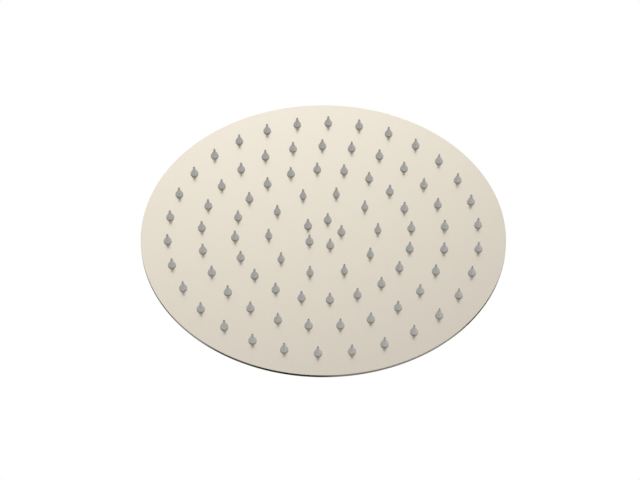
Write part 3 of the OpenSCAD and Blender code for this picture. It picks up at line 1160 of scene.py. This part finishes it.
@dataclass(frozen=True)
class SoftLight:
    """A glowing flat panel, out of the camera's sight.

    Attributes:
        name: its name.
        glow: its brightness.
        place: its middle, in metres.
        look: the direction that it faces.
        size: its width and height.
        grades: how its brightness changes across and along it, in metres from its middle.
    """

    name: str
    glow: float
    place: tuple[float, float, float]
    look: tuple[float, float, float]
    size: tuple[float, float]
    grades: tuple[Grade, ...] = ()

    def build(self) -> None:
        """Stands the panel in the studio."""
        material = bpy.data.materials.new(self.name)
        tree = shader_tree(material)
        place = add_node(tree, "ShaderNodeTexCoord").outputs["Object"]
        parts = add_node(tree, "ShaderNodeSeparateXYZ", {0: place}).outputs
        glow = self.glow
        for part, grade in zip(parts, self.grades):
            glow = grade.shade(tree, glow, part)
        light = add_node(tree, "ShaderNodeEmission", {"Color": WHITE, "Strength": glow})
        add_node(tree, "ShaderNodeOutputMaterial", {"Surface": light})
        w, h = self.size[0] / 2, self.size[1] / 2
        mesh = bpy.data.meshes.new(self.name)
        mesh.from_pydata([(-w, -h, 0), (w, -h, 0), (w, h, 0), (-w, h, 0)], [], [(0, 1, 2, 3)])
        mesh.materials.append(material)
        panel = placed(self.name, mesh)
        facing = Vector(self.look).to_track_quat("Z", "Y").to_matrix().to_4x4()
        panel.matrix_world = Matrix.Translation(self.place) @ facing
        panel.visible_camera = False


@dataclass
class Studio:
    """Camera, floor, soft lights and room, in metres and degrees."""

    lens: float = 128.25
    distance: float = 1.558
    elevation: float = 47.735
    roll: float = -175.95
    target: tuple[float, float, float] = (-0.00276, 0.00627, FACE_Z * MM)
    floor_z: float = -2.1
    floor_r: float = 40.0
    floor_glow: float = 0.55
    panel_distance: float = 1.3
    panel_size: tuple[float, float] = (2.0, 1.7)
    panel_grades: tuple[Grade, ...] = (Grade(-0.5, 0.08, 1.14, 1.5), Grade(-0.9, 0.9, 0.14, 1.76, "LINEAR"))
    lights: tuple[SoftLight, ...] = (
        SoftLight("top_light", 1.5, (0, 0, 1.6), (0, 0, -1), (1.4, 1.4)),
        SoftLight("side_light", 1.4, (1.3, 0.35, -0.45), (-1.3, -0.35, 0.4), (2.2, 1.3)),
    )
    walls_to_ceiling: Grade = Grade(0.3, 0.68, 1.1, 0.42)
    dark_parts: tuple[DarkPart, ...] = (
        DarkPart((-0.250, 0.562, 0.788), 11.0, 18.0, 0.0),
        DarkPart((-0.498, 0.362, 0.788), 12.0, 23.0, 0.25),
        DarkPart((-0.07, 0.998, 0.0), 15.0, 75.0, 0.55),
        DarkPart((-0.360, -0.555, 0.750), 6.0, 26.0, 0.3),
        DarkPart((0.580, -0.300, 0.757), 8.0, 19.0, 0.03),
    )

    def build(self) -> None:
        """Builds the studio."""
        bpy.context.scene.view_settings.view_transform = "Standard"
        self.camera()
        self.floor()
        for light in (self.graded_panel(), *self.lights):
            light.build()
        self.room()

    def camera(self) -> None:
        """Sets the camera where the photograph was taken: below the head, looking up at its water side."""
        e, turn = math.radians(self.elevation), math.radians(self.roll)
        to_part = Matrix.Rotation(turn, 3, "Z") @ Matrix.Diagonal((-1, 1, -1))
        back = to_part @ Vector((0, -math.cos(e), math.sin(e)))
        right = to_part @ Vector((1, 0, 0))
        up = back.cross(right)
        data = bpy.data.cameras.new("camera")
        data.lens, data.sensor_width = self.lens, 36.0
        data.clip_start, data.clip_end = 0.05, 60.0
        place = Matrix([(right[i], up[i], back[i]) for i in range(3)]).to_4x4()
        place.translation = Vector(self.target) + back * self.distance
        camera = placed("camera", data)
        camera.matrix_world = place
        bpy.context.scene.camera = camera

    def floor(self) -> None:
        """Lays the plain pale floor far below the hanging head."""
        form = bmesh.new()
        bmesh.ops.create_circle(form, cap_ends=True, radius=self.floor_r, segments=96)
        mesh = bpy.data.meshes.new("floor")
        form.to_mesh(mesh)
        form.free()
        mesh.transform(Matrix.Translation((0, 0, self.floor_z)))
        material = bpy.data.materials.new("pale_floor")
        tree = shader_tree(material)
        looks = {"Base Color": linear("#E9E8E6"), "Roughness": 0.9}
        looks |= {"Emission Color": WHITE, "Emission Strength": self.floor_glow}
        shader = add_node(tree, "ShaderNodeBsdfPrincipled", looks)
        add_node(tree, "ShaderNodeOutputMaterial", {"Surface": shader})
        mesh.materials.append(material)
        placed("floor", mesh)

    def graded_panel(self) -> SoftLight:
        """Designs the large panel that the face mirrors, brighter towards the far side.

        Returns:
            The panel.
        """
        e, side = math.radians(self.elevation), math.radians(180 + self.roll)
        down = Vector((math.cos(e) * math.sin(side), -math.cos(e) * math.cos(side), -math.sin(e)))
        middle = Vector(self.target) + down * self.panel_distance
        return SoftLight("graded_panel", 1.0, middle, -down, self.panel_size, self.panel_grades)

    def room(self) -> None:
        """Sets the white background, and the room that lights and reflections see.

        Its walls are pale and its ceiling is darker. The photographer's side is dimmer, and parts of
        the ceiling are darker still or black, which the head's rim mirrors where the photograph shows
        the rim dark.
        """
        world = bpy.data.worlds.new("studio")
        tree = shader_tree(world)
        way = add_node(tree, "ShaderNodeTexCoord").outputs["Generated"]
        height = add_node(tree, "ShaderNodeSeparateXYZ", {0: way}).outputs[2]
        glow = self.walls_to_ceiling.shade(tree, 1.0, height)
        for part in self.dark_parts:
            nearness = add_node(tree, "ShaderNodeVectorMath", {0: way, 1: part.way}, operation="DOT_PRODUCT")
            glow = part.grade().shade(tree, glow, nearness.outputs["Value"])
        white, room = (
            add_node(tree, "ShaderNodeBackground", {"Color": WHITE, "Strength": strength})
            for strength in (1.0, glow)
        )
        seen = add_node(tree, "ShaderNodeLightPath").outputs["Is Camera Ray"]
        mixed = add_node(tree, "ShaderNodeMixShader", {0: seen, 1: room, 2: white})
        add_node(tree, "ShaderNodeOutputWorld", {"Surface": mixed})
        bpy.context.scene.world = world


def main() -> None:
    """Builds the head round its frame, piece by piece."""
    logging.basicConfig(level=logging.INFO, format="%(name)s: %(message)s")
    nozzles = NozzleRings()
    HeadSheets(nozzles.rings()).build()
    nozzles.build()
    Swivel().build()
    Inlet().build()
    FilterScreen().build()
    HiddenPieces().dress()
    Studio().build()


if __name__ == "__main__":
    main()
